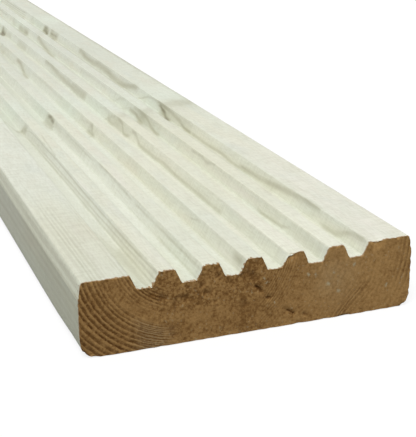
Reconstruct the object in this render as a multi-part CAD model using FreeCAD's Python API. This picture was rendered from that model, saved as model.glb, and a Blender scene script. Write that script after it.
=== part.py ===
"""A grooved softwood decking board, lying flat with its grooved face up.

The board is one planed and sawn length of timber, so it is one solid. Its section is a rectangle with
rounded lower arrises and a steep bevel along each upper edge. A row of straight-sided grooves runs along the
whole length of the top face. The grooves stand symmetrically about the middle, with a wide flat land left
outside the last one on each side.

The origin is at the middle of the underside. X runs across the board, Y along its length and Z up, and
every size is in millimetres.
"""

import FreeCAD
import Part

import math
import os

# Planed stock size
BOARD_WIDTH = 145.0
BOARD_THICKNESS = 32.0
BOARD_LENGTH = 2400.0

# Grooves of the top face
GROOVE_COUNT = 6
GROOVE_MOUTH = 11.7  # width at the top face
GROOVE_FLOOR = 6.2  # width at the bottom, so the walls lean outwards
GROOVE_DEPTH = 6.0
RIDGE_CREST = 6.7  # flat top between two grooves

# Bevel of the two upper edges
BEVEL_HEIGHT = 7.5  # down the side
BEVEL_WIDTH = 1.3  # across the top face

# Radii of the edges that run along the board
TOP_ARRIS = 1.2  # where a bevel meets the top face
SIDE_ARRIS = 6.0  # where a bevel meets the side
BOTTOM_ARRIS = 5.5
CREST_ROUND = 0.7  # where a groove wall meets the top face
ROOT_ROUND = 0.7  # where a groove wall meets its floor

# A rounding takes at most this share of the shorter flat beside its corner
ROUND_SHARE = 0.45

NODE = "decking_board"


def section_corners():
    """The section's corners as (x, z, radius), going round from the lower left by way of the right side."""
    half = BOARD_WIDTH / 2
    top = BOARD_THICKNESS
    floor = BOARD_THICKNESS - GROOVE_DEPTH
    pitch = GROOVE_MOUTH + RIDGE_CREST
    corners = [
        (-half, 0.0, BOTTOM_ARRIS),
        (half, 0.0, BOTTOM_ARRIS),
        (half, top - BEVEL_HEIGHT, SIDE_ARRIS),
        (half - BEVEL_WIDTH, top, TOP_ARRIS),
    ]
    for index in reversed(range(GROOVE_COUNT)):
        middle = (index - (GROOVE_COUNT - 1) / 2) * pitch
        corners += [
            (middle + GROOVE_MOUTH / 2, top, CREST_ROUND),
            (middle + GROOVE_FLOOR / 2, floor, ROOT_ROUND),
            (middle - GROOVE_FLOOR / 2, floor, ROOT_ROUND),
            (middle - GROOVE_MOUTH / 2, top, CREST_ROUND),
        ]
    corners += [
        (-half + BEVEL_WIDTH, top, TOP_ARRIS),
        (-half, top - BEVEL_HEIGHT, SIDE_ARRIS),
    ]
    return corners


def corner_round(before, corner, after, radius):
    """The start, middle and end of the arc that rounds one corner, tangent to both of its flats."""
    to_before = before - corner
    to_after = after - corner
    room = ROUND_SHARE * min(to_before.Length, to_after.Length)
    to_before.normalize()
    to_after.normalize()
    half_angle = to_before.getAngle(to_after) / 2
    setback = min(radius / math.tan(half_angle), room)
    fitted = setback * math.tan(half_angle)
    inward = to_before + to_after
    inward.normalize()
    middle = corner + inward * (fitted / math.sin(half_angle) - fitted)
    return corner + to_before * setback, middle, corner + to_after * setback


def rounded_wire(corners, y):
    """A closed wire in the plane at y, with a straight flat between each two rounded corners."""
    points = [FreeCAD.Vector(x, y, z) for x, z, radius in corners]
    count = len(points)
    arcs = []
    for index, (x, z, radius) in enumerate(corners):
        arcs.append(corner_round(points[index - 1], points[index], points[(index + 1) % count], radius))
    edges = []
    for index, (start, middle, end) in enumerate(arcs):
        next_start = arcs[(index + 1) % count][0]
        edges.append(Part.Arc(start, middle, end).toShape())
        edges.append(Part.LineSegment(end, next_start).toShape())
    return Part.Wire(edges)


def decking_board():
    """The whole board: its section drawn at the near end and carried along the length."""
    section = Part.Face(rounded_wire(section_corners(), -BOARD_LENGTH / 2))
    return section.extrude(FreeCAD.Vector(0, BOARD_LENGTH, 0))


def main():
    os.makedirs("parts", exist_ok=True)
    board = decking_board()
    board.exportStep(os.path.join("parts", NODE + ".step"))
    box = board.BoundBox
    print(NODE, "valid", board.isValid(), "volume cm3", round(board.Volume / 1000, 1))
    print("size mm", round(box.XLength, 3), round(box.YLength, 3), round(box.ZLength, 3))


main()
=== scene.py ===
"""The looks of a grooved softwood decking board, made as one closed mesh in place of its solid.

The board lies along Y with its grooves up and its near end at low Y. The mesh follows the solid's section and
carries the relief of the wood: raised grain, marks on the groove walls, and the checks and torn edges of the
saw cuts. The relief and the colours come from the same fields, so a dark ring on the sawn end runs on along
the planed faces.
"""

from functools import reduce
import math

import bpy
import numpy as np
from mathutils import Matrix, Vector
from mathutils.geometry import delaunay_2d_cdt


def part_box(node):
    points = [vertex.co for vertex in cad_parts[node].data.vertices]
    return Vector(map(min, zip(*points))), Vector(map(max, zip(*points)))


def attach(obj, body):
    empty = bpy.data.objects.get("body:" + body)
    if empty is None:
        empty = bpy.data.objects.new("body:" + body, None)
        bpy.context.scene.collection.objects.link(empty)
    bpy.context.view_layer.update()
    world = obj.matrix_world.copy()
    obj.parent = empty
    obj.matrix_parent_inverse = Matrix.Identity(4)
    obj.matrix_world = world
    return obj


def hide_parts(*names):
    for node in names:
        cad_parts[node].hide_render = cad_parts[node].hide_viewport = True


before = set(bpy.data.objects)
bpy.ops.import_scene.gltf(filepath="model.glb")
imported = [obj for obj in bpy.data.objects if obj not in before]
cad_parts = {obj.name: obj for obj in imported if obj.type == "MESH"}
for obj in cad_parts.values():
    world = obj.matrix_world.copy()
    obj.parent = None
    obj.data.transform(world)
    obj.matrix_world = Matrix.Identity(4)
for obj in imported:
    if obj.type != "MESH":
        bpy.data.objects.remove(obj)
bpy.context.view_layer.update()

NODE = "decking_board"

low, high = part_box(NODE)
WIDTH, LENGTH, THICKNESS = high - low
MM = 0.001  # a millimetre, in metres

# Section, in metres, the same as the solid's
GROOVE_COUNT = 6
GROOVE_MOUTH = 0.0117
GROOVE_FLOOR = 0.0062
GROOVE_DEPTH = 0.006
RIDGE_CREST = 0.0067
GROOVE_PITCH = GROOVE_MOUTH + RIDGE_CREST
GROOVE_ROUND = 0.0007
BEVEL_HEIGHT = 0.0075
BEVEL_WIDTH = 0.0013
TOP_ARRIS = 0.0012
SIDE_ARRIS = 0.006
BOTTOM_ARRIS = 0.0055

# Places on the section, in millimetres from its middle and from the underside
SIDE = WIDTH / 2 / MM
HALF_MOUTH = GROOVE_MOUTH / 2 / MM
HALF_FLOOR = GROOVE_FLOOR / 2 / MM
TOP = THICKNESS / MM
GROOVE_BOTTOM = (THICKNESS - GROOVE_DEPTH) / MM
SHOULDER = (THICKNESS - BEVEL_HEIGHT) / MM  # lower edge of the bevels

# Spacing of the mesh, in metres
TOP_STEP = 0.0011
SIDE_STEP = 0.0014
UNDERSIDE_STEP = 0.0025
ARC_TURN = math.radians(24)
END_STEP = 0.0007
WHORL_STEP = 0.006
LONG_STEP = 0.04
STEP_GROWTH = 0.3  # a step's share of the way to the nearest fine place
CAP_STEP = 0.001
CAP_CLEAR = 0.6  # share of that step that an inner point keeps from the outline
FILL_INSIDE = 1  # the triangles of an end keep inside its outline
WELD = 1e-7
RIM = 0.5  # how far the points at the edge of an end count as sawn
SHARP_ANGLE = math.radians(50)

# Places on the baking map: the long faces fill the lower part, and the two ends lie above them
SIDES_TOP = 0.8
ENDS_BOTTOM = 0.81
ENDS_HEIGHT = 0.18
END_WIDTH = 0.47
END_PLACES = (0.01, 0.52)

# Growth of the tree, in millimetres: x across, y from the near end and z up from the underside
RING_MIDDLE = (-30.0, 42.0)  # x and z of the pith
RING_FIRST = 0.3  # width of the innermost ring
RING_GROWTH = 0.13  # how much wider, in shares of that, a ring is for each millimetre from the pith
RING_STEADY = 48.0  # beyond this radius the rings stay equally wide
RING_DRIFT = 5.0  # the rings' widths change over about this distance
RING_UNEVEN = 0.4  # and by about this share of a ring
RING_WANDER = 5.0
RING_WAVES = 0.8
RING_SHAKE = 0.3
RING_FINE_SHAKE = 0.24
NEAR_WANDER = 0.15  # share of the wander that is left at the near end
WANDER_FULL = 120.0  # and where all of it has come in
BEND_X = 46.0  # the rings lean over about here
BEND_WIDTH = 14.0
BEND_TOP = 14.0  # and below this height
BEND_SLOPE = -0.45
RING_WEAKEST = 0.65
LATE_BEGINS = (0.15, 0.6)  # shares of a ring between which its late wood comes up
LATE_ENDS = (0.85, 1.0)
FINE_COUNT = 2.0  # narrow rings for each ring
FINE_BEGINS = (0.2, 0.7)
FINE_ENDS = (0.8, 1.0)
WHORL_FIRST = 240.0
WHORL_SPACING = 342.0
WHORL_REACH = 40.0
WHORL_WANDER = 8.0
SWELL = 2.0  # how far the rings are pushed outwards at a whorl
SWELL_BEFORE = 95.0
SWELL_AFTER = 50.0
LIMB_X = -5.0  # from here to the right, the limbs of a whorl lean away from the near end
LIMB_SLANT = 0.5
LIMB_BEFORE = 8.0  # how far before its whorl a limb's edge starts

# Dark strokes on the groove walls, groove by groove. Each is half its width, its darkness and its points as
# (y, height above the groove's floor); a height of more than the groove's depth lies on the crest beside it.
# They repeat along the board, with the grooves in reverse order every second time.
MARKS_LENGTH = 2 * WHORL_SPACING
STROKE_FADE = 3.0  # length over which the ends of a thin stroke fade
WIDE_FADE = 2.0  # and how much longer that is for each millimetre of its half width
STROKE_LOW, STROKE_HIGH = -3.0, 10.0  # heights that the strokes keep between
STROKE_WIDEST = 4.0
FADE_SHARE = 0.9  # share of its half width, to both sides, over which a stroke's edge fades
EARLIEST_FADE = 0.1  # first places where a stroke may fade in and be full
EARLIEST_STROKE = 0.2
STROKE_SHAKE_ALONG = 2.0
STROKE_SHAKE_UP = 0.3
HALO = 1.2  # how much further the soft shade beside a broad stroke reaches
HALO_WIDTHS = (0.5, 1.1)  # half widths of strokes between which that shade comes in
HALO_SHARE = 0.32
OTHER_WALL = 24.0  # the strokes of the opposite walls stand this much further along
OTHER_WALL_WEAKER = 0.3  # and are weaker by this share
WALL_CHANGE = 1.0  # from a groove's middle, where one wall gives way to the other
STROKES = (
    (
        (0.40, 0.32, (0, 2.8), (100, 2.3), (170, 2.2), (215, 2.4)),
        (0.40, 0.40, (0, 4.9), (50, 4.2), (110, 4.4), (160, 4.9), (222, 4.7), (240, 3.0), (250, 1.0)),
        (0.45, 0.32, (0, 0.8), (152, 0.8), (232, 0.5), (241, -0.6)),
        (2.00, 0.30, (0, -1.6), (40, -1.4)),
        (2.40, 0.20, (195, 2.5), (240, 2.5)),
        (0.50, 0.30, (175, 6.2), (215, 8.3)),
        (2.60, 0.60, (243, 2.5), (251, -0.5)),
    ),
    (
        (0.50, 0.30, (0, 4.0), (85, 4.0)),
        (0.50, 0.25, (0, 0.5), (45, 0.6)),
        (0.50, 0.35, (97, 4.2), (110, 4.6), (130, 5.2), (150, 5.5)),
        (0.45, 0.30, (165, 4.3), (222, 4.4)),
        (1.60, 0.30, (232, 3.0), (246, 3.4)),
        (2.40, 0.15, (185, 3.2), (246, 3.2)),
        (1.60, 0.80, (253, 3.6), (256, 3.8)),
        (1.60, 0.80, (260, 4.5), (263, 4.2)),
        (3.00, 0.50, (254, 1.5), (262, 1.5)),
        (0.60, 0.45, (249, 2.0), (254, -0.8), (260, -1.2), (267, 1.5)),
    ),
    (
        (1.60, 0.55, (2, 3.6), (8, 3.8)),
        (0.50, 0.35, (53, 4.6), (60, 3.2)),
        (1.30, 0.55, (225, 0.7), (234, 0.8)),
        (1.40, 0.60, (227, 1.0), (230, 3.0), (233, 4.4)),
        (0.50, 0.20, (240, 4.4), (252, 3.5)),
        (0.60, 0.15, (305, 4.5), (396, 4.5)),
        (1.40, 0.55, (404, -1.0), (423, 1.0), (433, 2.5), (452, 4.0)),
        (2.50, 0.20, (460, 0.0), (492, 0.0)),
        (2.50, 0.30, (502, 1.0), (515, 2.0)),
    ),
    (
        (0.95, 0.45, (70, 1.0), (130, 1.0), (152, 1.7), (165, 1.3), (190, 1.2), (197, 2.5),
         (203, 4.0), (210, 4.7)),
        (1.05, 0.52, (216, 1.0), (222, 0.4), (226, 1.0), (228, 3.0), (232, 4.3), (240, 5.0)),
        (1.30, 0.42, (247, 0.4), (254, 0.9), (258, 1.8)),
        (1.00, 0.38, (249, 4.4), (255, 3.2), (258, 1.8)),
        (0.60, 0.20, (268, 5.0), (278, 3.5)),
        (2.50, 0.20, (222, 2.5), (246, 2.5)),
        (2.20, 0.50, (318, 2.6), (350, 2.9)),
        (1.40, 0.50, (345, 2.4), (380, 2.8), (400, 3.7), (435, 5.0)),
        (3.00, 0.30, (510, 2.0), (535, 2.0)),
        (2.00, 0.30, (572, 2.5), (586, 1.5)),
        (3.50, 1.00, (595, -1.0), (603, 0.3)),
    ),
    (
        (2.40, 0.15, (8, 2.5), (32, 2.5)),
        (0.70, 0.45, (38, 2.0), (45, 1.0), (67, 0.5)),
        (0.60, 0.35, (130, 5.2), (139, 4.1), (147, 4.9), (160, 4.7)),
        (1.05, 0.57, (214, 0.0), (224, 0.8), (232, 2.0), (238, 3.5), (245, 4.4), (265, 4.8)),
        (0.70, 0.25, (272, 3.5), (284, 0.3)),
        (1.15, 0.60, (245, -0.5), (256, 1.2), (263, 2.3), (270, 2.3)),
        (0.80, 0.25, (290, 4.8), (302, 2.0), (312, 0.0)),
        (0.80, 0.15, (330, 4.0), (400, 4.2)),
        (2.50, 0.22, (226, 2.0), (262, 3.0)),
        (1.50, 0.55, (478, -1.0), (500, 0.0), (512, 1.0), (537, 3.4), (546, 4.4)),
        (3.00, 0.60, (588, 1.2), (598, 1.5)),
        (2.60, 0.50, (606, 1.0), (616, 1.0)),
        (2.50, 0.20, (643, 1.0), (650, 3.0)),
    ),
    (
        (1.20, 0.42, (5, 5.2), (12, 4.8), (20, 2.5), (28, 0.8), (36, 0.3)),
        (1.30, 0.55, (48, 5.5), (65, 4.9), (90, 3.2), (132, 1.5)),
        (0.90, 0.48, (120, 1.0), (140, 0.4), (165, 1.3), (180, 0.8), (206, 0.9)),
        (1.05, 0.62, (210, 0.9), (230, 2.9), (250, 4.2), (275, 5.0)),
        (0.70, 0.35, (278, 5.0), (290, 4.6), (297, 3.5), (308, 0.3)),
        (1.30, 0.85, (246, -0.6), (257, 1.5), (266, 3.2), (270, 4.2)),
        (2.50, 0.22, (214, 3.0), (262, 3.0)),
        (1.85, 0.54, (322, 4.5), (332, 3.5), (342, 2.0), (352, 1.0), (362, 0.8), (372, 1.2), (390, 2.8),
         (415, 3.3), (430, 2.4), (452, 2.6), (472, 4.3)),
        (3.20, 0.70, (554, 1.5), (569, 2.2)),
        (3.00, 0.85, (587, 1.0), (599, 2.6)),
        (2.40, 0.18, (134, -1.6), (205, -1.6)),
        (2.40, 0.18, (320, -1.6), (540, -1.6)),
        (3.00, 0.20, (646, 0.0), (654, 3.0)),
    ),
)

NEAR_END = (12.0, 4.0)  # distances from the near end between which its marks come in

# Dark marks on the near end: half the width, the darkness and two ends as (x, z)
MARK_SHAKE = 0.6
END_MARKS = (
    (0.80, 1.00, (1.0, 19.8), (3.2, 17.4)),
    (0.80, 0.90, (6.0, 14.4), (6.6, 13.9)),
    (0.80, 0.35, (3.0, 17.4), (14.8, 7.3)),
    (0.65, 1.00, (15.2, 6.7), (17.8, 5.1)),
    (0.50, 0.70, (21.5, 4.4), (24.2, 3.3)),
    (1.00, 0.80, (-39.8, 21.2), (-37.4, 20.4)),
    (1.10, 0.55, (-44.5, 24.2), (-40.5, 22.2)),
    (1.60, 0.65, (-35.0, 18.8), (-28.5, 19.2)),
    (1.60, 0.75, (-23.4, 23.6), (-19.6, 20.6)),
    (1.00, 0.70, (-15.4, 26.6), (-13.6, 25.8)),
    (1.60, 0.55, (-4.6, 25.4), (0.2, 24.0)),
    (0.80, 0.55, (-34.8, 8.5), (-34.4, 3.6)),
    (0.50, 0.60, (-17.2, 16.2), (-16.8, 16.0)),
    (0.90, 0.45, (-4.5, 13.5), (-3.5, 10.0)),
)

# Broken top edges of the near end: x, z, size and depth
CHIPS = (
    (15.8, 31.8, 2.4, 1.7),
    (55.5, 32.2, 2.8, 1.0),
)
CHIP_DEEPEST = max(depth for x, z, size, depth in CHIPS)

# The worn lower corner of the near end
WORN = (-72.0, 0.5)  # x and z
WORN_SIZE = 5.0
WORN_LENGTH = 45.0

# Pale flecks on the near end: x, z and size
FLECK_SHAKE = 1.2
FLECKS = (
    (4.4, 22.6, 0.4),
    (5.2, 20.4, 0.45),
    (9.2, 11.4, 0.4),
    (24.0, 21.3, 0.6),
    (27.3, 21.0, 0.5),
    (33.3, 15.9, 0.75),
    (36.0, 20.5, 0.5),
    (38.2, 12.2, 0.65),
    (45.0, 23.0, 0.5),
    (61.0, 11.3, 0.6),
)

# Depths of the relief, in millimetres
EARLY_DEPTH = 0.06  # of the early wood; the late wood stands higher
LATE_HEIGHT = 0.05
STROKE_DEPTH = 0.15
SAWN_DEPTH = 0.14
SAWN_SHAKE = 0.12
CHECK_DEPTH = 0.8  # of the dark marks of the near end
TORN_DEPTH = 0.8  # of the edge of a saw cut
TORN_MORE = 2.0  # what the worn corner adds to that
WORN_DEPTH = 1.5

# Noises of the wood: their sizes across and along the grain in millimetres, a seed and, where they aren't the
# usual ones, the number of finer layers and their strength
FINER_LAYERS = (2.0, 0.5)
NOISES = {
    "ring wander": (40, 500, 3.1),
    "ring waves": (9, 110, 7.7),
    "ring shake": (3, 40, 6.6),
    "fine ring shake": (1, 25, 16.6),
    "ring gaps": (1.3, 40, 44.5),
    "whorls": (15, 60, 1.3),
    "strokes along": (3, 22, 12.0),
    "strokes up": (4, 30, 13.0),
    "stroke gaps": (2, 24, 19.0, 3.0),
    "marks across": (1, 40, 8.5, 3.0),
    "marks up": (1, 40, 18.5, 3.0),
    "mark gaps": (1.3, 40, 48.5),
    "flecks across": (0.9, 40, 28.5, 3.0),
    "flecks up": (0.9, 40, 38.5, 3.0),
    "worn corner": (2.5, 9, 55.0),
    "saw cut": (0.9, 0.9, 2.0),
    "torn edge": (1.3, 1.3, 5.0, 3.0),
    "green": (11, 100, 11.0),
    "pink": (8, 70, 17.0),
    "right land": (6, 22, 71.0),
    "patches": (10, 34, 77.0),
    "shoulder": (3, 40, 61.0),
    "lines": (5, 120, 5.0),
    "streaks": (2.2, 95, 33.0, 3.0),
    "fibres": (0.7, 5, 9.0, 4.0, 0.75),
    "planer waves": (9, 1, 51.0, 1.0),
    "mottle": (5, 28, 81.0),
    "limbs": (6, 12, 23.0),
    "splinters": (1, 1.6, 91.0),
    "ragged edge": (1.3, 4, 95.0),
    "specks": (1.1, 60, 4.5, 2.0, 0.65),
    "blotches": (3.6, 60, 14.5, 3.0, 0.6),
    "dots": (1.4, 60, 64.5, 1.0),
    "clouds": (13, 60, 24.5),
}

# Colours of the planed faces
CREAM = (0.785, 0.79, 0.655)
MINT = (0.755, 0.785, 0.672)
BLUSH = (0.775, 0.765, 0.665)
# painted shade: the grey that the faces take on towards the far end, where the light falls off
GREY = (0.68, 0.705, 0.612)
PALE = (0.80, 0.82, 0.725)
MILKY = (0.75, 0.80, 0.69)
ROSY = (0.825, 0.81, 0.71)
COOL = (0.70, 0.735, 0.665)
# painted highlight of the bevels
BEVEL = (0.85, 0.87, 0.71)
WARM = (0.785, 0.78, 0.625)
DUSTY = (0.74, 0.70, 0.575)
BRIGHT = (0.89, 0.89, 0.75)
SHADE = (0.45, 0.475, 0.375)
OLIVE = (0.36, 0.345, 0.22)
# painted shade of the sides below their bevels, and the dark line along each bevel's lower edge
SIDE_SHADE_AND_LINE = (0.33, 0.345, 0.19)
BARK = (0.13, 0.11, 0.075)

# Colours of the sawn ends
END_LIGHT = (0.485, 0.288, 0.106)
END_BROWN = (0.29, 0.153, 0.046)
END_DARK = (0.097, 0.038, 0.0055)
END_FLECK = (0.50, 0.425, 0.265)

# Camera
CAMERA_PLACE = (-0.15695, -0.35556, 0.18626)  # from the middle of the near end's lower edge
CAMERA_YAW = math.radians(-21.07)
CAMERA_PITCH = math.radians(19.51)
CAMERA_NEAREST = 0.01
FOCAL_PIXELS = 1049.7
IMAGE_HEIGHT = 437
SENSOR = 36.0

# Floor and light
FLOOR_COLOUR = (0.2, 0.2, 0.2)
FLOOR_REACH = 30.0
FLOOR_DROP = 0.0002
FLOOR_GLOW = 0.82
DOME = 0.42
DOME_LOW = 0.0  # heights of the sky between which the dome grows bright
DOME_HIGH = 0.6
SUN = 2.35
SUN_SPREAD = math.radians(30)
SUN_TOWARDS = (0.36, 0.48, -1.0)


def whorl_places():
    """Distances of the whorls of knots from the near end, in metres."""
    count = 1 + int((LENGTH / MM - WHORL_FIRST) // WHORL_SPACING)
    return [(WHORL_FIRST + index * WHORL_SPACING) * MM for index in range(count)]


def lanes(strokes):
    """Strokes of one groove sorted into lanes, where each stroke starts well after the one before it ends."""
    found = []
    for stroke in sorted(strokes, key=lambda stroke: stroke[2][0]):
        start = stroke[2][0] - STROKE_FADE - WIDE_FADE * stroke[0]
        free = [lane for lane in found if lane[-1][-1][0] + STROKE_FADE + WIDE_FADE * lane[-1][0] < start]
        if free:
            free[0].append(stroke)
        else:
            found.append([stroke])
    return found


# Mesh of the board

def section_corners():
    """The section's corners as (x, z, radius, spacing of the points on the flat that follows).

    They go round from the lower left by way of the right side.
    """
    half = WIDTH / 2
    floor = THICKNESS - GROOVE_DEPTH
    shoulder = THICKNESS - BEVEL_HEIGHT
    corners = [
        (-half, 0.0, BOTTOM_ARRIS, UNDERSIDE_STEP),
        (half, 0.0, BOTTOM_ARRIS, SIDE_STEP),
        (half, shoulder, SIDE_ARRIS, SIDE_STEP),
        (half - BEVEL_WIDTH, THICKNESS, TOP_ARRIS, TOP_STEP),
    ]
    for index in reversed(range(GROOVE_COUNT)):
        middle = (index - (GROOVE_COUNT - 1) / 2) * GROOVE_PITCH
        corners += [
            (middle + GROOVE_MOUTH / 2, THICKNESS, GROOVE_ROUND, TOP_STEP),
            (middle + GROOVE_FLOOR / 2, floor, GROOVE_ROUND, TOP_STEP),
            (middle - GROOVE_FLOOR / 2, floor, GROOVE_ROUND, TOP_STEP),
            (middle - GROOVE_MOUTH / 2, THICKNESS, GROOVE_ROUND, TOP_STEP),
        ]
    corners += [
        (-half + BEVEL_WIDTH, THICKNESS, TOP_ARRIS, SIDE_STEP),
        (-half, shoulder, SIDE_ARRIS, SIDE_STEP),
    ]
    return corners


def rounded_corner(before, corner, after, radius):
    """Points along the arc that rounds one corner, tangent to both of its flats."""
    to_before = (before - corner).normalized()
    to_after = (after - corner).normalized()
    half_angle = to_before.angle(to_after) / 2
    setback = radius / math.tan(half_angle)
    centre = corner + (to_before + to_after).normalized() * radius / math.sin(half_angle)
    start = (corner + to_before * setback - centre).normalized()
    end = (corner + to_after * setback - centre).normalized()
    turn = math.pi - 2 * half_angle
    steps = max(2, math.ceil(turn / ARC_TURN), math.ceil(turn * radius / SIDE_STEP))
    return [centre + start.slerp(end, index / steps) * radius for index in range(steps + 1)]


def section_outline():
    """Points round the section, in order, close enough together to carry the grain."""
    corners = section_corners()
    places = [Vector((x, z)) for x, z, radius, step in corners]
    arcs = []
    for index, (x, z, radius, step) in enumerate(corners):
        after = places[(index + 1) % len(places)]
        arcs.append(rounded_corner(places[index - 1], places[index], after, radius))
    points = []
    for arc, next_arc, (x, z, radius, step) in zip(arcs, arcs[1:] + arcs[:1], corners):
        run = next_arc[0] - arc[-1]
        steps = max(1, math.ceil(run.length / step))
        points += arc
        points += [arc[-1] + run * part / steps for part in range(1, steps)]
    return np.array(points)


def stations():
    """Distances from the near end of the rows of points, close together at the ends and at the whorls."""
    whorls = whorl_places()
    places = [0.0]
    while places[-1] < LENGTH:
        here = places[-1]
        to_end = min(here, abs(LENGTH - here))
        to_whorl = max(0.0, min(abs(here - whorl) for whorl in whorls) - WHORL_REACH * MM)
        places.append(here + min(
            LONG_STEP,
            max(END_STEP, STEP_GROWTH * to_end),
            max(WHORL_STEP, STEP_GROWTH * to_whorl),
        ))
    return np.array(places) * LENGTH / places[-1]


def staggered_points():
    """Points on staggered rows over the whole section's box."""
    rows = np.arange(CAP_STEP, THICKNESS, CAP_STEP * math.sqrt(3) / 2)
    across = np.arange(-WIDTH / 2, WIDTH / 2, CAP_STEP)
    found = [np.stack([across + CAP_STEP / 2 * (index % 2), np.full(len(across), z)], axis=1)
             for index, z in enumerate(rows)]
    return np.concatenate(found)


def end_points(outline):
    """Points inside the outline and clear of its edge."""
    found = staggered_points()
    inside = np.zeros(len(found), bool)
    clear = np.full(len(found), np.inf)
    for start, run in zip(outline, np.roll(outline, -1, axis=0) - outline):
        offset = found - start
        share = np.clip(offset @ run / (run @ run), 0, 1)
        clear = np.minimum(clear, np.hypot(*(offset - share[:, None] * run).T))
        if run[1]:
            height = offset[:, 1] / run[1]
            inside ^= (height >= 0) & (height < 1) & (offset[:, 0] < height * run[0])
    return found[inside & (clear > CAP_CLEAR * CAP_STEP)]


def end_triangles(outline, inner):
    """Triangles that fill the section, with the outline's points numbered first and then the inner ones."""
    points = [Vector(point) for point in np.concatenate([outline, inner])]
    loop = list(range(len(outline)))
    _, _, faces, sources, _, _ = delaunay_2d_cdt(points, [], [loop], FILL_INSIDE, WELD)
    origin = [found[0] for found in sources]
    return np.array([[origin[corner] for corner in face] for face in faces])


def side_corners(rows, count):
    """Row and column of each corner of the quads of the long faces."""
    row, column = np.meshgrid(np.arange(rows - 1), np.arange(count), indexing="ij")
    row, column = row.ravel(), column.ravel()
    corner_rows = np.stack([row, row + 1, row + 1, row], axis=1)
    corner_columns = np.stack([column, column, column + 1, column + 1], axis=1)
    return corner_rows, corner_columns


def side_map(outline, along, corner_rows, corner_columns):
    """Places of the long faces on the baking map: the length across it and the girth up it."""
    girth = np.cumsum(np.hypot(*(np.roll(outline, -1, axis=0) - outline).T))
    girth = np.concatenate([[0], girth])
    return np.stack([
        (along[corner_rows] - along[0]) / LENGTH,
        girth[corner_columns] / girth[-1] * SIDES_TOP,
    ], axis=-1)


def end_map(section, triangles, place):
    """Places of one end on the baking map."""
    flat = np.stack([
        place + END_WIDTH * (section[:, 0] / WIDTH + 0.5),
        ENDS_BOTTOM + ENDS_HEIGHT * section[:, 1] / THICKNESS,
    ], axis=-1)
    return flat[triangles]


def set_layers(mesh, maps, side_count, outline_count, side_points):
    """Writes the baking map, how far each point belongs to a sawn end, and each face's material."""
    layer = mesh.uv_layers.new(name="OFBake")
    flat = np.concatenate([part.reshape(-1, 2) for part in maps])
    layer.uv.foreach_set("vector", flat.astype(np.float32).ravel())
    sawn = np.zeros(len(mesh.vertices), np.float32)
    sawn[:outline_count] = RIM
    sawn[side_points - outline_count:side_points] = RIM
    sawn[side_points:] = 1.0
    mesh.attributes.new("sawn", "FLOAT", "POINT").data.foreach_set("value", sawn)
    material = np.zeros(len(mesh.polygons), np.int32)
    material[side_count:] = 1
    mesh.polygons.foreach_set("material_index", material)


def board_mesh():
    """The closed mesh: rows of points round the section along the length, and two filled ends."""
    outline = section_outline()
    inner = end_points(outline)
    section = np.concatenate([outline, inner])
    triangles = end_triangles(outline, inner)
    along = stations() + low.y
    count, rows = len(outline), len(along)
    side_points = rows * count

    sides = np.empty((rows, count, 3))
    sides[:, :, 0] = outline[:, 0]
    sides[:, :, 1] = along[:, None]
    sides[:, :, 2] = outline[:, 1]
    points = [sides.reshape(-1, 3)]
    points += [np.insert(inner, 1, y, axis=1) for y in (along[0], along[-1])]

    corner_rows, corner_columns = side_corners(rows, count)
    quads = corner_rows * count + corner_columns % count
    on_edge = triangles < count
    near = np.where(on_edge, triangles, triangles - count + side_points)
    far = np.where(on_edge, triangles + side_points, triangles + side_points + len(inner)) - count
    faces = quads.tolist() + near.tolist() + far[:, ::-1].tolist()

    mesh = bpy.data.meshes.new(NODE)
    mesh.from_pydata(np.concatenate(points).tolist(), [], faces)
    maps = [
        side_map(outline, along, corner_rows, corner_columns),
        end_map(section, triangles, END_PLACES[0]),
        end_map(section, triangles[:, ::-1], END_PLACES[1]),
    ]
    set_layers(mesh, maps, len(quads), count, side_points)
    mesh.update()
    return mesh


# Fields

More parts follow.
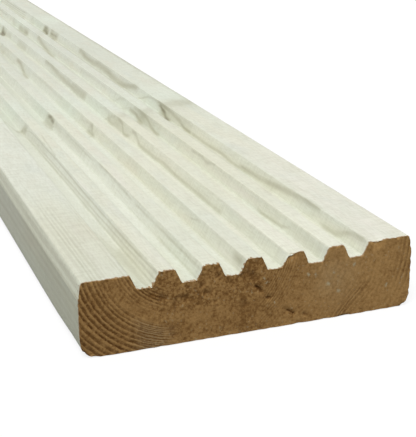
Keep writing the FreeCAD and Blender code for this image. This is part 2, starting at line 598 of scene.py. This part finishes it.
class Field:
    """A number that varies over the board: a socket of a node tree, with sums that add nodes to the tree."""

    def __init__(self, tree, socket):
        self.tree = tree
        self.socket = socket

    def math(self, operation, *others):
        inputs = dict(enumerate((self, *others)))
        node = add_node(self.tree, "ShaderNodeMath", inputs, operation=operation)
        return Field(self.tree, node.outputs[0])

    def __add__(self, other):
        return self.math("ADD", other)

    def __sub__(self, other):
        return self.math("SUBTRACT", other)

    def __mul__(self, other):
        return self.math("MULTIPLY", other)

    def __truediv__(self, other):
        return self.math("DIVIDE", other)

    def away(self, other):
        """Distance from a value."""
        return (self - other).math("ABSOLUTE")

    def hypot(self, other):
        return (self * self + other * other).math("SQRT")

    def least(self, other):
        return self.math("MINIMUM", other)

    def most(self, other):
        return self.math("MAXIMUM", other)

    def clamped(self):
        """The field, kept between 0 and 1."""
        return self.most(0.0).least(1.0)

    def bell(self, width, middle=0.0):
        """1 where the field is at the middle, falling to nearly nothing at twice the width from it."""
        scaled = (self - middle) / width
        return (scaled * scaled * -1.0).math("EXPONENT")

    def ramp(self, start, end, first=0.0, last=1.0):
        """first at start and last at end, smooth between them."""
        inputs = {"Value": self, "From Min": start, "From Max": end, "To Min": first, "To Max": last}
        node = add_node(self.tree, "ShaderNodeMapRange", inputs, interpolation_type="SMOOTHSTEP")
        return Field(self.tree, node.outputs["Result"])

    def fade(self, width, strength):
        """The strength where the field is nearly 0, falling smoothly to half of it at the width."""
        return self.ramp(width * (1 - FADE_SHARE), width * (1 + FADE_SHARE), strength, 0.0)

    def ripple(self):
        """Noise from about -1 to 1 along the field."""
        node = add_node(self.tree, "ShaderNodeTexNoise", {"Scale": 1.0, "W": self}, noise_dimensions="1D")
        return Field(self.tree, node.outputs[0]) * 2.0 - 1.0

    def chance(self):
        """A random number from 0 to 1 for each value."""
        node = add_node(self.tree, "ShaderNodeTexWhiteNoise", {"W": self}, noise_dimensions="1D")
        return Field(self.tree, node.outputs["Value"])

    def between(self, first, second):
        """first where this field is 0 and second where it is 1."""
        return (self * -1.0 + 1.0) * first + self * second

    def late_part(self, begins, ends):
        """Late wood from 0 to 1, where the field counts rings."""
        part = self.math("FRACT")
        return part.ramp(*begins) - part.ramp(*ends)


def plug(tree, entry, value):
    """Sets a node's input to a plain value, or links it to a field or a socket."""
    if isinstance(value, Field):
        value = value.socket
    if isinstance(value, bpy.types.NodeSocket):
        tree.links.new(value, entry)
    else:
        entry.default_value = value


def add_node(tree, kind, inputs, **settings):
    """Adds a node with its settings and plugs its inputs, which go by name or number."""
    node = tree.nodes.new(kind)
    for name, value in settings.items():
        setattr(node, name, value)
    for key, value in inputs.items():
        plug(tree, node.inputs[key], value)
    return node


def strongest(fields):
    """The largest of some fields at each place."""
    return reduce(Field.most, fields)


class Timber:
    """The fields of the wood, in millimetres, for one node tree."""

    def __init__(self, tree, position):
        self.tree = tree
        split = add_node(tree, "ShaderNodeSeparateXYZ", {0: position})
        self.x, along, self.z = [Field(tree, socket) / MM for socket in split.outputs]
        self.y = along - low.y / MM
        self.find_groove()
        self.find_whorl()
        self.grow_rings()

    def noise(self, name):
        """One of the noises, from about -1 to 1."""
        across, along, seed, *finer = NOISES[name]
        detail, roughness = (*finer, *FINER_LAYERS[len(finer):])
        place = self.joined(self.x / across + seed, self.y / along + seed, self.z / across + seed)
        inputs = {"Vector": place, "Scale": 1.0, "Detail": detail, "Roughness": roughness}
        node = add_node(self.tree, "ShaderNodeTexNoise", inputs)
        return Field(self.tree, node.outputs[0]) * 2.0 - 1.0

    def within(self, **limits):
        """1 in a zone and 0 outside it, soft between.

        On each axis the places say where it begins and is full and, if it ends too, is still full and ends.
        """
        sides = []
        for axis, places in limits.items():
            field = getattr(self, axis)
            sides.append(field.ramp(*places[:2]))
            if len(places) > 2:
                sides.append(field.ramp(places[3], places[2]))
        return reduce(Field.__mul__, sides)

    def find_groove(self):
        """The nearest groove, the way up its wall (below 0 on its floor), and the parts of the section."""
        pitch = GROOVE_PITCH / MM
        last = GROOVE_COUNT - 1
        self.groove = (self.x / pitch + last / 2).math("ROUND").most(0.0).least(last)
        from_middle = self.x - (self.groove - last / 2) * pitch
        self.other_wall = from_middle.ramp(WALL_CHANGE, -WALL_CHANGE)
        from_groove = from_middle.away(0.0)
        on_floor = (from_groove - HALF_FLOOR).least(0.0)
        on_crest = (from_groove - HALF_MOUTH).most(0.0)
        self.up_wall = self.z - GROOVE_BOTTOM + on_floor + on_crest
        self.grooved = from_groove.ramp(HALF_MOUTH + 0.2, HALF_MOUTH - 0.4)
        self.on_floor = self.up_wall.ramp(0.3, -0.8) * self.grooved
        self.on_wall = self.up_wall.ramp(-0.6, 0.6) * self.grooved
        self.beside = self.x.away(0.0).ramp(SIDE - 1.5, SIDE - 1.1)
        self.top = self.z.ramp(TOP - 1.0, TOP - 0.4)

    def find_whorl(self):
        """Distance past the nearest whorl, and the place and groove that the strokes repeat by."""
        turn = ((self.y - WHORL_FIRST) / WHORL_SPACING).math("ROUND")
        past = self.y - WHORL_FIRST - turn * WHORL_SPACING
        self.past_whorl = past + self.noise("whorls") * WHORL_WANDER
        lap = (self.y / MARKS_LENGTH).math("FLOOR")
        self.in_lap = self.y - lap * MARKS_LENGTH
        odd = (lap / 2).math("FRACT") * 2.0
        self.lap_groove = odd.between(self.groove, self.groove * -1.0 + GROOVE_COUNT - 1)

    def ring_stray(self):
        """How far the rings stray from circles."""
        steady = self.y.ramp(0.0, WANDER_FULL) * (1 - NEAR_WANDER) + NEAR_WANDER
        wander = self.noise("ring wander") * RING_WANDER + self.noise("ring waves") * RING_WAVES
        shake = self.noise("ring shake") * RING_SHAKE + self.noise("fine ring shake") * RING_FINE_SHAKE
        bend = (self.z - BEND_TOP).least(0.0) * self.x.bell(BEND_WIDTH, BEND_X) * BEND_SLOPE
        swell = self.past_whorl.ramp(-SWELL_BEFORE, 0.0) - self.past_whorl.ramp(0.0, SWELL_AFTER)
        return wander * steady + shake + bend - swell * SWELL

    def grow_rings(self):
        """The radius, the number of rings inside it, and the late wood of the rings from 0 to 1."""
        self.radius = (self.x - RING_MIDDLE[0]).hypot(self.z - RING_MIDDLE[1]) + self.ring_stray()
        grown = (self.radius.least(RING_STEADY) * RING_GROWTH + 1.0).math("LOGARITHM", math.e)
        steady_width = RING_FIRST * (1 + RING_GROWTH * RING_STEADY)
        beyond = (self.radius - RING_STEADY).most(0.0) / steady_width
        uneven = (self.radius / RING_DRIFT).ripple() * RING_UNEVEN
        self.age = grown / (RING_GROWTH * RING_FIRST) + beyond + uneven
        strength = self.age.math("FLOOR").chance() * (1 - RING_WEAKEST) + RING_WEAKEST
        self.late = self.age.late_part(LATE_BEGINS, LATE_ENDS) * strength

    def fine_rings(self):
        """Late wood of more, narrower rings, from 0 to 1."""
        return (self.age * FINE_COUNT).late_part(FINE_BEGINS, FINE_ENDS)

    def joined(self, *parts):
        """A vector of two or three fields."""
        return add_node(self.tree, "ShaderNodeCombineXYZ", dict(enumerate(parts))).outputs[0]

    def vector(self, operation, first, second):
        """A sum of two vectors, each a socket or plain numbers."""
        inputs = {0: first, 1: second}
        return add_node(self.tree, "ShaderNodeVectorMath", inputs, operation=operation).outputs

    def from_line(self, place, start, end):
        """Distance of a place from a straight line between two points of its plane."""
        run = (end[0] - start[0], end[1] - start[1], 0.0)
        span = run[0] ** 2 + run[1] ** 2
        offset = self.vector("SUBTRACT", place, (*start, 0.0))["Vector"]
        share = self.vector("DOT_PRODUCT", offset, tuple(length / span for length in run))["Value"]
        clamp = add_node(self.tree, "ShaderNodeClamp", {"Value": share})
        reach = self.vector("MULTIPLY", clamp.outputs[0], run)["Vector"]
        return Field(self.tree, self.vector("DISTANCE", offset, reach)["Value"])

    def curve(self, along, points):
        """A value from 0 to 1 that runs smoothly through points of (y, value) along one lap."""
        node = add_node(self.tree, "ShaderNodeFloatCurve", {"Value": along / MARKS_LENGTH})
        line = node.mapping.curves[0].points
        for y, value in points[1:-1]:
            line.new(y / MARKS_LENGTH, value)
        for end in (0, -1):
            line[end].location = (points[end][0] / MARKS_LENGTH, points[end][1])
        for point in line:
            point.handle_type = "AUTO_CLAMPED"
        node.mapping.update()
        return Field(self.tree, node.outputs[0])

    def lane(self, along, up, strokes):
        """The darkness of strokes that follow each other along one groove."""
        reach = STROKE_HIGH - STROKE_LOW
        heights, widths, shades = [], [], [(0.0, 0.0)]
        for width, darkness, *points in strokes:
            start, end = points[0][0], points[-1][0]
            fade = STROKE_FADE + WIDE_FADE * width
            heights += [(y, (height - STROKE_LOW) / reach) for y, height in points]
            widths += [(start, width / STROKE_WIDEST), (end, width / STROKE_WIDEST)]
            shades += [(max(EARLIEST_FADE, start - fade), 0.0), (max(EARLIEST_STROKE, start), darkness)]
            shades += [(end, darkness), (end + fade, 0.0)]
        width = self.curve(along, widths) * STROKE_WIDEST
        shade = self.curve(along, shades)
        away = up.away(self.curve(along, heights) * reach + STROKE_LOW)
        halo = away.fade(width + HALO, shade * width.ramp(*HALO_WIDTHS)) * self.on_wall * HALO_SHARE
        return away.fade(width, shade).most(halo)

    def wall_marks(self):
        """Dark knots and streaks on the walls of the grooves."""
        along = self.in_lap - self.other_wall * OTHER_WALL + self.noise("strokes along") * STROKE_SHAKE_ALONG
        up = self.up_wall + self.noise("strokes up") * STROKE_SHAKE_UP
        grooves = []
        for number, strokes in enumerate(STROKES):
            marks = strongest([self.lane(along, up, lane) for lane in lanes(strokes)])
            grooves.append(marks * self.lap_groove.math("COMPARE", number, 0.5))
        broken = (self.noise("stroke gaps") * 0.5 + 0.9).clamped()
        weaker = self.other_wall * -OTHER_WALL_WEAKER + 1.0
        above_floor = self.z.ramp(GROOVE_BOTTOM - 2.0, GROOVE_BOTTOM - 0.5)
        return strongest(grooves) * broken * above_floor * weaker

    def shaken_end(self, across, up, reach):
        """The place on an end as a vector, shaken by two noises so that the marks there are ragged."""
        return self.joined(self.x + self.noise(across) * reach, self.z + self.noise(up) * reach)

    def end_marks(self):
        """Dark marks of the near end."""
        place = self.shaken_end("marks across", "marks up", MARK_SHAKE)
        found = strongest([self.from_line(place, start, end).fade(width, darkness)
                           for width, darkness, start, end in END_MARKS])
        grain = self.noise("mark gaps").ramp(-0.3, 0.3)
        return found * grain.most(found.ramp(0.7, 0.9)) * self.y.ramp(*NEAR_END)

    def flecks(self):
        """1 in the pale flecks of the near end."""
        place = self.shaken_end("flecks across", "flecks up", FLECK_SHAKE)
        found = []
        for x, z, size in FLECKS:
            away = Field(self.tree, self.vector("DISTANCE", place, (x, z, 0.0))["Value"])
            found.append(away.fade(size, 1.0))
        return strongest(found) * self.y.ramp(*NEAR_END)

    def chip(self):
        """The depth of the broken edges of the near end, as a share of the deepest."""
        found = []
        for x, z, size, depth in CHIPS:
            away = (self.x - x).hypot(self.z - z).hypot(self.y)
            found.append(away.bell(size) * (depth / CHIP_DEEPEST))
        return strongest(found)

    def worn(self):
        """1 in the worn lower corner of the near end, which peters out along the board."""
        across = (self.x - WORN[0]).hypot(self.z - WORN[1]).bell(WORN_SIZE)
        return across * self.y.ramp(WORN_LENGTH, 0.0) * (self.noise("worn corner") * 0.4 + 0.7)


# Relief

def relief_depth(timber, sawn):
    """How far each point is pressed inwards, in millimetres."""
    planed = timber.late * -LATE_HEIGHT + EARLY_DEPTH + timber.wall_marks() * STROKE_DEPTH
    rough = timber.noise("saw cut") * SAWN_SHAKE + SAWN_DEPTH + timber.end_marks() * CHECK_DEPTH
    edge = sawn * (sawn * -1.0 + 1.0) / (RIM * (1 - RIM))  # 1 at the rim of an end and 0 elsewhere
    worn = timber.worn()
    torn = edge * timber.noise("torn edge").ramp(-0.15, 0.7) * (worn * TORN_MORE + TORN_DEPTH)
    damage = timber.chip() * CHIP_DEEPEST + worn * WORN_DEPTH
    return sawn.between(planed, rough) + torn + damage


def add_relief(board):
    """Presses the grain, knots and saw marks into the mesh, always inwards."""
    tree = bpy.data.node_groups.new("wood_relief", "GeometryNodeTree")
    for way in ("INPUT", "OUTPUT"):
        tree.interface.new_socket("Geometry", in_out=way, socket_type="NodeSocketGeometry")
    source = tree.nodes.new("NodeGroupInput")
    target = tree.nodes.new("NodeGroupOutput")
    sawn = add_node(tree, "GeometryNodeInputNamedAttribute", {"Name": "sawn"}, data_type="FLOAT")
    normal = tree.nodes.new("GeometryNodeInputNormal")
    timber = Timber(tree, tree.nodes.new("GeometryNodeInputPosition").outputs[0])
    depth = relief_depth(timber, Field(tree, sawn.outputs["Attribute"]))
    push = {0: normal.outputs[0], "Scale": depth * -MM}
    offset = add_node(tree, "ShaderNodeVectorMath", push, operation="SCALE").outputs[0]
    move = add_node(tree, "GeometryNodeSetPosition", {"Geometry": source.outputs[0], "Offset": offset})
    tree.links.new(move.outputs[0], target.inputs[0])

    board.modifiers.new("relief", "NODES").node_group = tree
    shaped = board.evaluated_get(bpy.context.evaluated_depsgraph_get())
    board.data = bpy.data.meshes.new_from_object(shaped)
    board.modifiers.clear()
    board.data.set_sharp_from_angle(angle=SHARP_ANGLE)


# Materials

def mixed(tree, share, first, second):
    """A colour that goes from first to second, each plain or a socket, as the share goes from 0 to 1."""
    first, second = [(*colour, 1.0) if isinstance(colour, tuple) else colour for colour in (first, second)]
    return add_node(tree, "ShaderNodeMix", {0: share, 6: first, 7: second}, data_type="RGBA").outputs[2]


def layered(tree, colour, layers):
    """A colour with others laid over it in turn, each given as its zone, its strength and the colour."""
    for zone, strength, tone in layers:
        colour = mixed(tree, zone * strength, colour, tone)
    return colour


def bumped(tree, height):
    """A normal bent by a height in millimetres."""
    return add_node(tree, "ShaderNodeBump", {"Distance": 1.0, "Height": height * MM}).outputs["Normal"]


def wood_material(name):
    """An empty wood material: its tree, its shader and its timber fields."""
    material = bpy.data.materials.new(name)
    material.use_nodes = True
    tree = material.node_tree
    shader = tree.nodes["Principled BSDF"]
    place = tree.nodes.new("ShaderNodeTexCoord")
    return material, tree, shader, Timber(tree, place.outputs["Object"])


def wood_tint(tree, timber):
    """The pale ground colour of the planed faces, drifting from cream to green and pink, with painted shade
    that greys it towards the far end and painted light on the far grooves and the bevels.
    """
    # painted light: the grooves beyond the first whorl are lightened so that they show little of their shade
    painted_light_far_grooves = timber.grooved * timber.y.ramp(240, 300) * 0.75
    bleached_land = timber.within(x=(-47, -51.5), y=(60, 140)) * 0.7
    right_land = timber.within(x=(50, 56), y=(240, 60))
    patch = timber.noise("patches")
    patched = timber.y.ramp(20, 60)
    pale_walls = timber.grooved * timber.within(x=(-15, -25), y=(30, 80))
    # painted highlight: the bevels are lighter, as they tilt up towards the light
    bevel = timber.beside * timber.z.ramp(SHOULDER - 0.4, SHOULDER + 0.4)
    warm_ridges = timber.top * timber.within(x=(-8, 12, 48, 54), y=(30, 90, 215, 250))
    middle_floors = timber.on_floor * timber.within(x=(-30, -12, -10, 20))
    near_ridges = timber.top * timber.within(x=(0, 8, 42, 46), y=(75, 25))
    two_walls = timber.on_wall * (timber.x.bell(3, 13.5) + timber.x.bell(3, 50.5))
    light_walls = two_walls * timber.within(y=(50, 80, 195, 225))
    behind_whorl = timber.past_whorl.bell(28, 48) * timber.z.ramp(24, 26)
    return layered(tree, CREAM, (
        (timber.noise("green").ramp(-0.35, 0.45), 1.0, MINT),
        (timber.noise("pink").ramp(-0.05, 0.65), 1.0, BLUSH),
        # painted shade: greyer and darker towards the far end, where the light falls off
        (timber.y.ramp(170, 500), 0.85, GREY),
        # painted light in the far grooves, and a paler patch on the left land
        (painted_light_far_grooves.most(bleached_land), 1.0, PALE),
        (right_land, timber.noise("right land") * 0.7 + 0.65, ROSY),
        (patched * patch.ramp(0.05, 0.5), 0.35, COOL),
        (patched * patch.ramp(-0.05, -0.5), 0.35, DUSTY),
        (pale_walls, 1.0, PALE),
        # painted highlight on the bevels
        (bevel, 1.0, BEVEL),
        (warm_ridges, 0.45, WARM),
        (middle_floors, 0.4, COOL),
        (near_ridges, 0.6, BRIGHT),
        (light_walls, 0.5, BRIGHT),
        (behind_whorl, 0.75, MILKY),
    ))


def wood_shade(tree, timber, colour):
    """Paints shade on the groove floors, deeper towards the far end, at the foot of each wall and on the
    sides below their bevels, and darkens the left land.
    """
    first = timber.x.ramp(-36, -42) * (timber.y.ramp(90, 30) * 0.08 + 0.18)
    left = timber.x.ramp(-15, -25) * 0.1
    right = timber.within(x=(20, 30), y=(60, 160)) * 0.2
    far = timber.y.ramp(180, 480) * (timber.x.ramp(-8, -24) * 0.3 + 0.3)
    # painted shade on the groove floors, which deepens towards the far end
    floor = timber.on_floor * (first + left + right + far)
    # painted shade in the rounded foot of each wall
    foot = timber.up_wall.bell(0.8) * timber.grooved * 0.2
    land = timber.top * timber.x.ramp(-50, -56) * (timber.y.ramp(150, 30) * 0.1 + 0.08)
    # painted shade: the sides below their bevels are darker, as they get less light than the top
    side = timber.z.ramp(SHOULDER + 0.4, SHOULDER - 0.4) * (timber.y.ramp(90, 20) * 0.06 + 0.3)
    shoulder = timber.z.bell(0.6, SHOULDER + 0.6) * timber.noise("shoulder").ramp(-0.4, 0.4) * 0.28
    return layered(tree, colour, (
        # painted shade on the floors and at the wall feet, and a darker left land
        (floor.most(foot).most(land), 1.0, SHADE),
        # painted shade on the sides, and the dark line at the foot of each bevel
        (timber.beside, side + shoulder, SIDE_SHADE_AND_LINE),
    ))


def wood_lines(tree, timber, colour):
    """Adds the late wood's lines, streaks and fibres, and painted shade along the far part of the right
    arris, and gives the fibres' height too.
    """
    at_edge = timber.x.bell(3, -67.5) * timber.top * timber.y.ramp(170, 50) * 0.2
    on_land = timber.x.bell(3.5, -63.5) + timber.x.bell(2, -53)
    at_land = on_land * timber.y.ramp(130, 40) * 0.32
    at_ridge = timber.x.bell(4, -38) * timber.in_lap.ramp(250, 225) * 0.1
    plain = timber.beside * 0.34 + 0.06
    patchy = (timber.noise("lines") * 0.8 + 0.65).clamped()
    lines = (timber.late * (at_edge + at_land + at_ridge + plain) * patchy).clamped()
    streak = timber.noise("streaks").ramp(0.1, 0.8) * 0.1
    # painted shade on the rounding of the right arris, which faces away from the light, towards the far end
    shaded_far_edge = timber.x.bell(2.2, 71.5) * timber.y.ramp(200, 420) * 0.75
    fibre = timber.noise("fibres").ramp(-0.4, 0.6)
    planer = timber.noise("planer waves")
    fine = (fibre * 0.3 + planer * 0.2 + timber.noise("mottle") * 0.1).clamped()
    zones = (lines, streak.most(shaded_far_edge), fine)
    colour = layered(tree, colour, [(zone, 1.0, OLIVE) for zone in zones])
    return colour, fibre * -0.04 + planer * 0.02


def limb_band(timber):
    """The soft dark edge of the limbs of each whorl, where it shows on the ridges and the right land."""
    edge = timber.past_whorl + LIMB_BEFORE - (timber.x - LIMB_X).most(0.0) * LIMB_SLANT
    land = timber.x.ramp(50, 60)
    rim = edge.bell(land * 5.0 + 7.0) * (land * 0.08 + 0.3)
    shade = (edge.ramp(-45, 0) - edge.ramp(0, 8)) * 0.14
    patchy = (timber.noise("limbs") * 0.6 + 0.8).clamped()
    return (rim + shade) * timber.within(x=(0, 30), in_lap=(450, 380)) * patchy


def torn_fibres(timber):
    """Brown fibres that stand over the near saw cut, and spots on the sides near it."""
    splinters = timber.beside * timber.y.ramp(9, 2) * timber.noise("splinters").ramp(0.2, 0.4)
    left = timber.within(x=(-53, -50, -10, 20)) * 0.8 + 0.5
    ragged = (timber.y + timber.noise("ragged edge") * left * 2.2).ramp(1.0, 0.4)
    return (splinters * 0.6).most(ragged * 0.9)


def planed_wood():
    """Pale, greenish planed faces with grain, knots and streaks."""
    material, tree, shader, timber = wood_material("planed_wood")
    colour = wood_shade(tree, timber, wood_tint(tree, timber))
    colour, height = wood_lines(tree, timber, colour)
    marks = timber.wall_marks()
    colour = layered(tree, colour, (
        (limb_band(timber), 1.0, OLIVE),
        (marks.least(0.85), 1.0, OLIVE),
        (marks.ramp(0.45, 1.0), 0.6, BARK),
        (torn_fibres(timber), 1.0, END_BROWN),
    ))
    tree.links.new(colour, shader.inputs["Base Color"])
    plug(tree, shader.inputs["Roughness"], timber.late * -0.1 + 0.72)
    tree.links.new(bumped(tree, height), shader.inputs["Normal"])
    return material


def fine_zone(timber):
    """1 at the lower left of a sawn end, where the rings are narrow."""
    return timber.within(x=(-54, -46, -43, -30), radius=(33, 36))


def speckled_zone(timber):
    """1 at the upper left of a sawn end, where the dots are strong."""
    return timber.within(x=(-46, -40, 0, 8), z=(11, 21))


def end_rings(timber):
    """How dark the late wood is on a sawn end: bold at the left, nearly gone in the middle, then faint."""
    plain = timber.radius.bell(2.2, 32.3) * -0.85 + 1.0
    left = timber.x.ramp(-40, -52) * (timber.radius.ramp(33, 42) * 0.35 + 0.75) * plain
    under_groove = timber.radius.bell(4.2, 23.5) * timber.within(x=(-34, -42), z=(28, 25))
    leaning = timber.radius.bell(4, 85) * timber.z.ramp(18, 8) * 0.7
    right_edge = timber.within(radius=(95, 103), z=(8, 16)) * 0.5
    right = timber.x.ramp(10, 30) * 0.08
    bold = left.most(under_groove) + leaning + right_edge + right + 0.05
    beside_check = timber.radius.bell(7, 46) * timber.x.ramp(1, 6)
    fine = timber.fine_rings() * (fine_zone(timber) * 0.75 + beside_check * 0.55)
    broken = (timber.noise("ring gaps") * 1.1 + 0.85).clamped()
    return ((timber.late * bold).most(fine) * broken).clamped()


def end_tone(timber, speck, blotch):
    """How light the ground of a sawn end is: about 0, and less where it is dark."""
    speckled = speckled_zone(timber)
    grain = speck * (speckled * 0.6 + 1.1) + blotch * 0.45 + timber.noise("clouds") * 0.3
    light = timber.x.ramp(5, 40) * 0.28 + timber.x.ramp(-40, -52) * 0.16
    streak = timber.x.bell(10, -28) * timber.z.bell(2.5, 11.5) * 0.2
    dim = timber.x.bell(8, -4) * 0.22
    return grain + light + streak - dim - speckled * 0.1


def sawn_end():
    """Brown end grain with dark rings, checks and pale flecks."""
    material, tree, shader, timber = wood_material("sawn_end")
    speck = timber.noise("specks")
    blotch = timber.noise("blotches")
    dots = timber.noise("dots")
    tone = end_tone(timber, speck, blotch)
    rings = end_rings(timber)
    early = timber.fine_rings() * -1.0 + 1.0
    milky = timber.x.bell(9, 37) * timber.z.bell(9, 18) * (blotch * 0.5 + 0.5)
    colour = layered(tree, END_BROWN, (
        ((tone + 0.4).clamped(), 1.0, END_LIGHT),
        ((tone * -1.2).clamped(), 0.6, END_DARK),
        (fine_zone(timber) * early, 0.28, END_FLECK),
        (rings, 0.92, END_DARK),
        (dots.ramp(0.3, 0.55), speckled_zone(timber) * 0.35 + 0.3, END_DARK),
        (dots.ramp(-0.3, -0.6) * timber.x.ramp(-48, -36), 0.35, END_FLECK),
        (milky.clamped(), 0.3, END_FLECK),
        (timber.end_marks(), 0.9, END_DARK),
        (timber.flecks(), 0.95, END_FLECK),
        (timber.chip().ramp(0.4, 0.65), 1.0, CREAM),
    ))
    height = speck * 0.05 + blotch * 0.08 - rings * 0.05
    tree.links.new(colour, shader.inputs["Base Color"])
    shader.inputs["Roughness"].default_value = 0.9
    shader.inputs["Specular IOR Level"].default_value = 0.2
    tree.links.new(bumped(tree, height), shader.inputs["Normal"])
    return material


# Stage

def placed(name, data):
    """A new object in the scene."""
    thing = bpy.data.objects.new(name, data)
    bpy.context.scene.collection.objects.link(thing)
    return thing


def add_camera():
    """The camera, at the photograph's viewing angle."""
    camera = placed("camera", bpy.data.cameras.new("camera"))
    camera.data.sensor_width = SENSOR
    camera.data.lens = FOCAL_PIXELS * SENSOR / IMAGE_HEIGHT
    camera.data.clip_start = CAMERA_NEAREST
    camera.location = Vector(CAMERA_PLACE) + Vector((0, low.y, 0))
    camera.rotation_euler = (math.pi / 2 - CAMERA_PITCH, 0, CAMERA_YAW)
    bpy.context.scene.camera = camera


def seen_directly(tree):
    """1 for rays that show the backdrop itself and 0 for rays that light the board."""
    path = tree.nodes.new("ShaderNodeLightPath")
    names = ("Is Camera Ray", "Is Glossy Ray", "Is Transmission Ray")
    return strongest([Field(tree, path.outputs[name]) for name in names])


def add_floor():
    """A wide pale floor just under the board, which glows white where it is seen directly."""
    reach = FLOOR_REACH
    corners = [(-reach, -reach), (reach, -reach), (reach, reach), (-reach, reach)]
    mesh = bpy.data.meshes.new("floor")
    mesh.from_pydata([(x, y, -FLOOR_DROP) for x, y in corners], [], [(0, 1, 2, 3)])
    floor = placed("floor", mesh)
    material = bpy.data.materials.new("floor")
    material.use_nodes = True
    tree = material.node_tree
    shader = tree.nodes["Principled BSDF"]
    shader.inputs["Base Color"].default_value = (*FLOOR_COLOUR, 1)
    shader.inputs["Roughness"].default_value = 1.0
    shader.inputs["Specular IOR Level"].default_value = 0.0
    shader.inputs["Emission Color"].default_value = (1, 1, 1, 1)
    plug(tree, shader.inputs["Emission Strength"], seen_directly(tree) * FLOOR_GLOW)
    mesh.materials.append(material)


def add_world():
    """A soft dome, brighter overhead, that is plain white where it is seen directly."""
    world = bpy.data.worlds.new("studio")
    world.use_nodes = True
    tree = world.node_tree
    light = tree.nodes["Background"]
    light.inputs["Color"].default_value = (1, 1, 1, 1)
    place = tree.nodes.new("ShaderNodeTexCoord")
    split = add_node(tree, "ShaderNodeSeparateXYZ", {0: place.outputs["Generated"]})
    dome = Field(tree, split.outputs["Z"]).ramp(DOME_LOW, DOME_HIGH) * DOME
    plug(tree, light.inputs["Strength"], seen_directly(tree).between(dome, 1.0))
    bpy.context.scene.world = world


def add_sun():
    """A wide soft light from above, in front and to the left."""
    lamp = bpy.data.lights.new("sun", "SUN")
    lamp.energy = SUN
    lamp.angle = SUN_SPREAD
    sun = placed("sun", lamp)
    sun.rotation_euler = Vector(SUN_TOWARDS).to_track_quat("-Z", "Y").to_euler()


def add_board():
    """The board's one piece, with its relief and its two materials."""
    mesh = board_mesh()
    board = placed("board", mesh)
    mesh.materials.append(planed_wood())
    mesh.materials.append(sawn_end())
    mesh.shade_smooth()
    add_relief(board)
    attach(board, "root")
    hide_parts(NODE)


bpy.context.scene.view_settings.view_transform = "Standard"
add_board()
add_floor()
add_world()
add_sun()
add_camera()
